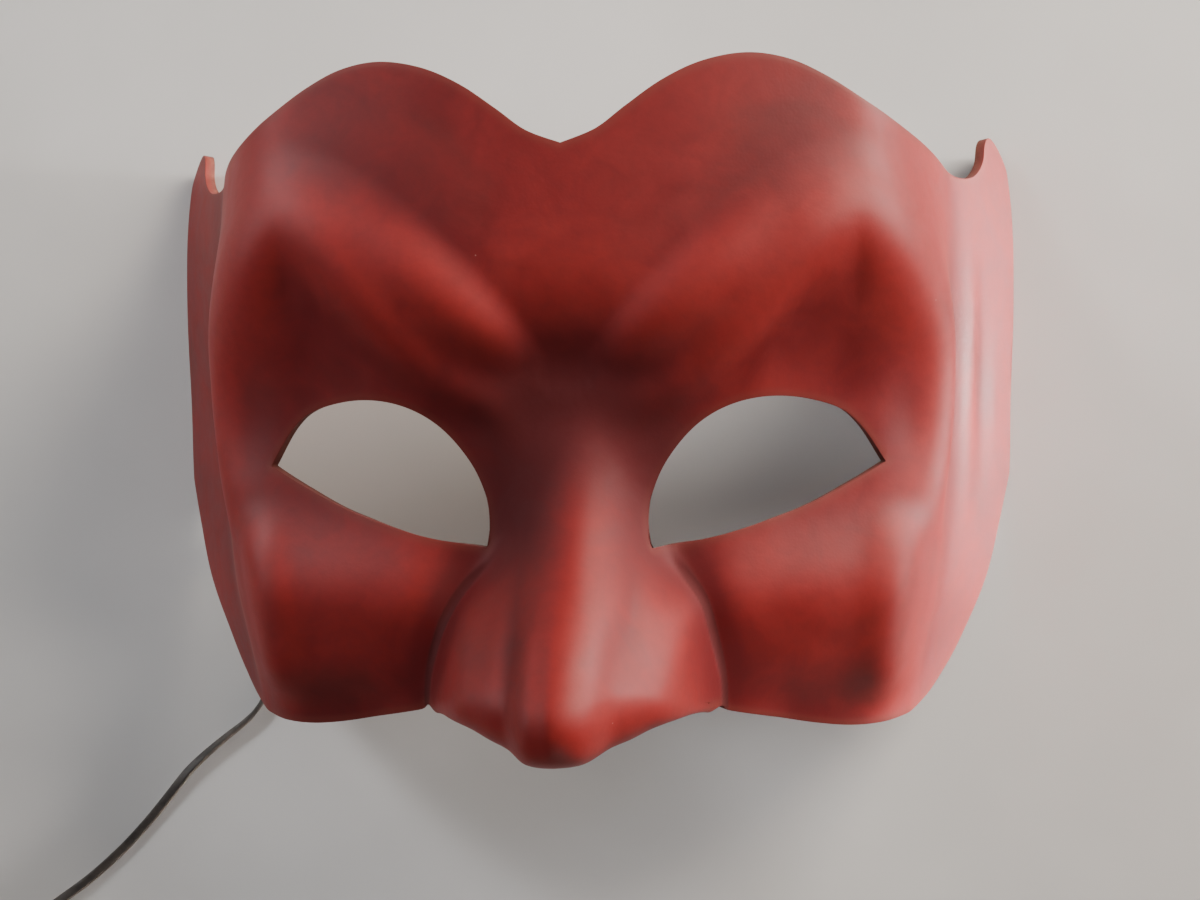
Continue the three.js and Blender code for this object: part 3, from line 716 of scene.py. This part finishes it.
def swept(name, points, wide, half_width, half_thickness, squareness=0.5):
    """Strip or thread along a line of points; wide is roughly the direction of its width at each point."""
    along = np.gradient(points, axis=0)
    along /= np.linalg.norm(along, axis=1, keepdims=True)
    wide = wide - (wide * along).sum(1, keepdims=True) * along
    wide /= np.linalg.norm(wide, axis=1, keepdims=True)
    thick = np.cross(along, wide)
    sides = STRIP_SIDES
    angles = (np.arange(sides) + 0.5) * 2 * math.pi / sides
    across, through = squared_ring(angles, squareness)
    across, through = across[None, :, None] * half_width, through[None, :, None] * half_thickness
    rings = points[:, None] + wide[:, None] * across + thick[:, None] * through
    faces = []
    for ring in range(len(points) - 1):
        for k in range(sides):
            a, b = ring * sides + k, ring * sides + (k + 1) % sides
            faces.append((a, b, b + sides, a + sides))
    last = (len(points) - 1) * sides
    faces.append(tuple(range(sides))[::-1])
    faces.append(tuple(range(last, last + sides)))
    return new_object(name, rings.reshape(-1, 3), faces)


def lace():
    """The lace from the patch to its bare end in the coil, and its middle line."""
    line = lace_line()
    points = line[:, :3]
    along = np.gradient(points, axis=0)
    side = np.cross([0, 0, 1], along)
    side /= np.linalg.norm(side, axis=1, keepdims=True)
    turn = np.radians(line[:, 3])[:, None]
    wide = np.cos(turn) * side + np.sin(turn) * np.array([0, 0, 1])
    return swept("tie_lace", points, wide, LACE_WIDTH / 2, LACE_THICKNESS / 2), points


def coil_tie():
    """Thread wound round the bundle of turns, its two ends knotted on the outside."""
    outward = np.array([math.cos(TIE_ANGLE), math.sin(TIE_ANGLE), 0])
    along = np.array([-outward[1], outward[0], 0])
    up = np.array([0, 0, 1])
    height = COIL_FLOOR + LACE_WIDTH * TIE_HEIGHT
    middle = np.array([*COIL_CENTRE, height]) + (COIL_RADIUS + TIE_OUTWARD) * outward
    half = LACE_WIDTH + TIE_GAP
    t = np.linspace(0, TIE_LOOPS, TIE_LOOPS * TIE_STEPS + 1)
    across, rise = squared_ring(2 * math.pi * t, TIE_SQUARENESS)
    offset = (t - TIE_LOOPS / 2) * TIE_PITCH
    wound = middle + half * (across[:, None] * outward + rise[:, None] * up) + offset[:, None] * along
    radius = THREAD_RADIUS
    pieces = [swept("tie_thread", wound, np.tile(along, (len(wound), 1)), radius, radius, 1)]
    radius = THREAD_END_RADIUS
    for sign in (1, -1):
        local = smooth_rows([(half + out, high, sign * far) for out, high, far in TIE_END], EDGE_STEPS)
        points = middle + local[:, :1] * outward + local[:, 1:2] * up + local[:, 2:] * along
        sideways = np.tile(outward, (len(points), 1))
        pieces.append(swept("tie_thread_end", points, sideways, radius, radius, 1))
    with bpy.context.temp_override(active_object=pieces[0], selected_editable_objects=pieces):
        bpy.ops.object.join()
    return pieces[0]


def lace_patch():
    """Leather patch glued over the lace's end, swelling where the lace runs in under it."""
    count = PATCH_POINTS
    u, v = np.meshgrid(np.linspace(-1, 1, count), np.linspace(-1, 1, count), indexing="ij")
    x = u * np.sqrt(1 - PATCH_ROUNDING[0] * v**PATCH_ROUNDING_POWER)
    z = v * np.sqrt(1 - PATCH_ROUNDING[1] * u**PATCH_ROUNDING_POWER)
    half_width = (PATCH_TO - PATCH_FROM) / 2
    s = (PATCH_FROM + PATCH_TO) / 2 + x * half_width
    y = (PATCH_LOW + PATCH_HIGH) / 2 + z * (PATCH_HIGH - PATCH_LOW) / 2
    rim = np.clip((1 - np.maximum(np.abs(u), np.abs(v))) / PATCH_BEVEL, 0, 1)
    over_lace = PATCH_SWELLING * bell(x * half_width, PATCH_SWELLING_WIDTH) * ramp(z, PATCH_LACE_END)
    at_entry = over_lace * ramp(z, PATCH_LACE_ENTRY) * (1 - rim)
    rise = PATCH_RIM + (PATCH_RISE + over_lace) * np.sqrt(1 - (1 - rim) ** 2) + at_entry
    normal = surface_normal(-s, y)
    base = surface(-s, y) - normal * LEATHER
    top = base - normal * rise[..., None]
    numbers = np.arange(count * count).reshape(count, count)
    corners = grid_quads(numbers)
    total = count * count
    loop = [*numbers[:-1, 0], *numbers[-1, :-1], *numbers[:0:-1, -1], *numbers[0, :0:-1]]
    walls = [(int(b), int(a), int(a) + total, int(b) + total) for a, b in zip(loop, [*loop[1:], loop[0]])]
    faces = corners.tolist() + (corners[:, ::-1] + total).tolist() + walls
    vertices = np.vstack([base.reshape(-1, 3), top.reshape(-1, 3)]) - (0, FACE_MIDDLE, 0)
    return new_object("lace_end_patch", vertices, faces)


# Colours of the materials, as linear red, green and blue
# Darker in hollows and redder on ridges: partly a rubbed finish, partly painted shade and painted light
HOLLOW_RED_AND_SHADE = (0.115, 0.002, 0.003)
RIDGE_RED_AND_LIGHT = (0.235, 0.012, 0.0105)
CLOUD_BROWN = (0.055, 0.006, 0.005)
MOTTLE_BROWN = (0.045, 0.005, 0.005)
BURNISHED_EDGE = (0.16, 0.03, 0.02)
# Painted shade at the nose's root and between the eyes
PAINTED_SHADE_RED = (0.05, 0.002, 0.003)
# Painted shade in narrow creases
CREASE_SHADE_RED = (0.035, 0.002, 0.002)
DUST = (0.5, 0.36, 0.3)

# Pairs of colours, a darker and a lighter one, between which a surface is uneven
FLESH_SIDE = [(0.085, 0.022, 0.014), (0.15, 0.045, 0.026)]
PATCH_BROWN = [(0.06, 0.018, 0.012), (0.12, 0.04, 0.024)]
LACE_BROWN = [(0.016, 0.012, 0.0095), (0.05, 0.038, 0.03)]
THREAD_TAN = [(0.09, 0.06, 0.04), (0.2, 0.14, 0.1)]
FLOOR_GREY = [(0.58, 0.565, 0.55), (0.62, 0.605, 0.59)]

# Sockets of a Mix node that mixes colours
MIX_SHARE, MIX_FIRST, MIX_SECOND, MIX_RESULT = 0, 6, 7, 2


class Finish:
    """A procedural material on one Principled shader."""

    def __init__(self, name):
        self.material = bpy.data.materials.new(name)
        self.material.use_nodes = True
        self.nodes = self.material.node_tree.nodes
        self.links = self.material.node_tree.links
        self.shader = next(n for n in self.nodes if n.type == "BSDF_PRINCIPLED")
        self.place = self.nodes.new("ShaderNodeTexCoord").outputs["Object"]

    def link(self, source, target):
        """Sets a socket to a number or a colour, or joins it to another node's output."""
        if isinstance(source, tuple):
            target.default_value = (*source, 1)
        elif isinstance(source, (int, float)):
            target.default_value = source
        else:
            self.links.new(source, target)

    def constant(self, **values):
        """Values that are the same all over, set on the shader's own sockets."""
        for name, value in values.items():
            self.shader.inputs[name.replace("_", " ")].default_value = value

    def noise(self, size, detail=3, roughness=0.5, distortion=0.0):
        """Cloudy noise whose patches are about size millimetres across."""
        node = self.nodes.new("ShaderNodeTexNoise")
        node.inputs["Scale"].default_value = 1 / (size * MM)
        node.inputs["Detail"].default_value = detail
        node.inputs["Roughness"].default_value = roughness
        node.inputs["Distortion"].default_value = distortion
        self.links.new(self.place, node.inputs["Vector"])
        return node.outputs["Fac"]

    def cells(self, size):
        """Distance to the nearest of points scattered about size millimetres apart, as a share of that."""
        node = self.nodes.new("ShaderNodeTexVoronoi")
        node.inputs["Scale"].default_value = 1 / (size * MM)
        self.links.new(self.place, node.inputs["Vector"])
        return node.outputs["Distance"]

    def range(self, source, low, high, to_low=0.0, to_high=1.0):
        """Goes smoothly from to_low to to_high as the source goes from low to high."""
        node = self.nodes.new("ShaderNodeMapRange")
        node.interpolation_type = "SMOOTHSTEP"
        names = ("Value", "From Min", "From Max", "To Min", "To Max")
        for name, value in zip(names, (source, low, high, to_low, to_high)):
            self.link(value, node.inputs[name])
        return node.outputs["Result"]

    def math(self, operation, a, b=0.0):
        node = self.nodes.new("ShaderNodeMath")
        node.operation = operation
        self.link(a, node.inputs[0])
        self.link(b, node.inputs[1])
        return node.outputs[0]

    def mix(self, share, a, b):
        """Colour a where the share is 0 and colour b where it is 1."""
        node = self.nodes.new("ShaderNodeMix")
        node.data_type = "RGBA"
        self.link(share, node.inputs[MIX_SHARE])
        self.link(a, node.inputs[MIX_FIRST])
        self.link(b, node.inputs[MIX_SECOND])
        return node.outputs[MIX_RESULT]

    def mark(self, name):
        """One of the marks that the mesh carries at its points."""
        node = self.nodes.new("ShaderNodeAttribute")
        node.attribute_name = name
        return node.outputs["Fac"]

    def bump(self, height, distance, strength=1.0, below=None):
        """Bumps as high as distance in millimetres, on top of the bumps below."""
        node = self.nodes.new("ShaderNodeBump")
        node.inputs["Distance"].default_value = distance * MM
        node.inputs["Strength"].default_value = strength
        self.link(height, node.inputs["Height"])
        if below is not None:
            self.links.new(below, node.inputs["Normal"])
        return node.outputs["Normal"]

    def wear(self, colour, roughness, normal):
        """Gives the shader its colour, roughness and bumps."""
        self.link(colour, self.shader.inputs["Base Color"])
        self.link(roughness, self.shader.inputs["Roughness"])
        self.links.new(normal, self.shader.inputs["Normal"])
        return self.material


def mask_leather():
    """Moulded oxblood leather, waxed outside and bare inside: darker in its hollows and redder on its
    ridges, partly a rubbed finish and partly painted shade and painted light, with painted shade in narrow
    creases and at the nose's root.
    """
    f = Finish("mask_leather")
    inside = f.mark("inside")
    painted_shade = f.mark("painted_shade")
    edge = f.range(f.mark("edge_distance"), 0.2, 2.2, 1, 0)
    clouds = f.noise(38, roughness=0.55, distortion=0.6)
    smudges = f.noise(11, detail=4, roughness=0.6, distortion=0.9)
    uneven = f.math("MULTIPLY", f.math("SUBTRACT", smudges, 0.5), 1.6)
    # Darker in the hollows and redder on the ridges: partly the leather's rubbed finish, partly painted
    # shade and painted light
    high = f.range(f.math("ADD", f.mark("relief"), uneven), -0.9, 1.1)
    # Painted shade in narrow creases, which are also made rougher
    crease = f.range(f.mark("crease"), -0.34, -0.16, 1, 0)
    red = f.mix(high, HOLLOW_RED_AND_SHADE, RIDGE_RED_AND_LIGHT)
    clouded = f.mix(f.range(clouds, 0.5, 0.72, 0, 0.35), red, CLOUD_BROWN)
    mottled = f.mix(f.range(f.noise(2.2, roughness=0.6), 0.35, 0.75, 0, 0.12), clouded, MOTTLE_BROWN)
    burnished = f.mix(f.math("MULTIPLY", edge, 0.45), mottled, BURNISHED_EDGE)
    # Painted shade: darker red at the nose's root and between the eyes
    shade_painted = f.mix(f.math("MULTIPLY", painted_shade, 0.7), burnished, PAINTED_SHADE_RED)
    # Painted shade: darker in narrow creases
    crease_shaded = f.mix(f.math("MULTIPLY", crease, 0.6), shade_painted, CREASE_SHADE_RED)
    outer = f.mix(f.range(f.cells(9), 0.012, 0.02, 0.35, 0), crease_shaded, DUST)
    flesh = f.mix(f.range(f.noise(3, detail=5, roughness=0.7), 0.35, 0.7), *FLESH_SIDE)
    dull = f.math("MULTIPLY", f.math("ADD", crease, painted_shade), 0.3)
    waxed = f.math("ADD", f.range(smudges, 0.3, 0.75, 0.52, 0.6), dull)
    waxed_outside = f.math("MULTIPLY", f.math("SUBTRACT", 1, inside), waxed)
    roughness = f.math("ADD", waxed_outside, f.math("MULTIPLY", inside, 0.82))
    grain = f.bump(f.cells(0.55), distance=0.02, strength=0.35)
    f.constant(Specular_IOR_Level=0.36)
    colour = f.mix(inside, outer, flesh)
    ripple = f.bump(f.noise(5), distance=0.12, strength=0.5, below=grain)
    return f.wear(colour, roughness, ripple)


def patch_leather():
    """Thin brown leather with a worn nap."""
    f = Finish("patch_leather")
    colour = f.mix(f.range(f.noise(2.5, detail=5, roughness=0.65), 0.35, 0.7), *PATCH_BROWN)
    roughness = f.range(f.noise(1.2), 0.3, 0.7, 0.66, 0.86)
    grain = f.bump(f.cells(0.5), distance=0.05, strength=0.5)
    nap = f.bump(f.noise(1.6, detail=4), distance=0.12, strength=0.5, below=grain)
    return f.wear(colour, roughness, nap)


def lace_leather():
    """Dark leather thong, polished in places by handling."""
    f = Finish("lace_leather")
    colour = f.mix(f.range(f.noise(4, detail=5, roughness=0.65), 0.3, 0.7), *LACE_BROWN)
    roughness = f.range(f.noise(1.5), 0.3, 0.7, 0.5, 0.72)
    grain = f.bump(f.cells(0.35), distance=0.04, strength=0.6)
    creases = f.bump(f.noise(0.9), distance=0.06, strength=0.6, below=grain)
    return f.wear(colour, roughness, creases)


def tie_thread():
    """Waxed linen thread."""
    f = Finish("tie_thread")
    colour = f.mix(f.range(f.noise(0.6, detail=4), 0.3, 0.7), *THREAD_TAN)
    roughness = f.range(f.noise(0.4), 0.3, 0.7, 0.75, 0.92)
    fibres = f.bump(f.noise(0.22, detail=2), distance=0.05, strength=0.8)
    return f.wear(colour, roughness, fibres)


def floor_finish():
    """Pale matt board."""
    f = Finish("studio_floor")
    colour = f.mix(f.range(f.noise(60), 0.3, 0.7), *FLOOR_GREY)
    roughness = f.range(f.noise(20), 0.3, 0.7, 0.62, 0.7)
    tooth = f.bump(f.noise(0.8, detail=2), distance=0.02, strength=0.3)
    return f.wear(colour, roughness, tooth)


def finish_with(piece, material, slot=None, *nodes):
    """Gives a piece its material; when a slot name is given, also puts it on the root body and hides the
    nodes it replaces.
    """
    piece.data.materials.clear()
    piece.data.materials.append(material)
    if slot:
        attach(piece, "root")
        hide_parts(*nodes)
    return piece


def add_camera():
    turn, roll = CAMERA_TURN, CAMERA_ROLL
    forward = np.array([-math.sin(turn), 0, -math.cos(turn)])
    level = np.array([math.cos(turn), 0, -math.sin(turn)])
    face_up = np.array([0, 1, 0])
    right = math.cos(roll) * level + math.sin(roll) * face_up
    up = math.cos(roll) * face_up - math.sin(roll) * level
    data = bpy.data.cameras.new("camera")
    data.sensor_width = SENSOR_WIDTH
    data.lens = data.sensor_width * LENS_PIXELS / PICTURE_WIDTH
    data.clip_start = CAMERA_NEAR * MM
    camera = bpy.data.objects.new("camera", data)
    place = np.array(CAMERA_PLACE) * MM
    rows = [[right[k], up[k], -forward[k], place[k]] for k in range(3)]
    camera.matrix_world = Matrix([*rows, [0, 0, 0, 1]])
    bpy.context.scene.collection.objects.link(camera)
    bpy.context.scene.camera = camera


def add_softbox(name, place, size, power, colour, aim=FACE_AIM, spread=None):
    """A rectangular soft light that points at its aim."""
    data = bpy.data.lights.new(name, "AREA")
    data.shape = "RECTANGLE"
    data.size, data.size_y = size
    data.energy = power
    data.color = colour
    if spread:
        data.spread = math.radians(spread)
    light = bpy.data.objects.new(name, data)
    turned = (Vector(aim) - Vector(place)).to_track_quat("-Z", "Y").to_matrix().to_4x4()
    light.matrix_world = Matrix.Translation(place) @ turned
    bpy.context.scene.collection.objects.link(light)


def add_studio():
    world = bpy.data.worlds.new("studio")
    world.use_nodes = True
    background = world.node_tree.nodes["Background"]
    background.inputs["Color"].default_value = (*COOL_WHITE, 1)
    background.inputs["Strength"].default_value = WORLD_STRENGTH
    bpy.context.scene.world = world
    corners = [(x * FLOOR_REACH, y * FLOOR_REACH, 0) for x, y in [(-1, -1), (1, -1), (1, 1), (-1, 1)]]
    floor = new_object("studio_floor", corners, [(0, 1, 2, 3)], smooth=False)
    finish_with(floor, floor_finish())
    for softbox in SOFTBOXES:
        add_softbox(**softbox)


add_camera()
thong, thong_line = lace()
tie = coil_tie()
finish_with(thong, lace_leather(), "lace_leather", "lace_run", "lace_coil")
finish_with(tie, tie_thread(), "tie_thread", "coil_tie")
finish_with(lace_patch(), patch_leather(), "patch_leather", "lace_patch")
finish_with(mask_shell(), mask_leather(), "mask_leather", "mask_shell")
add_studio()
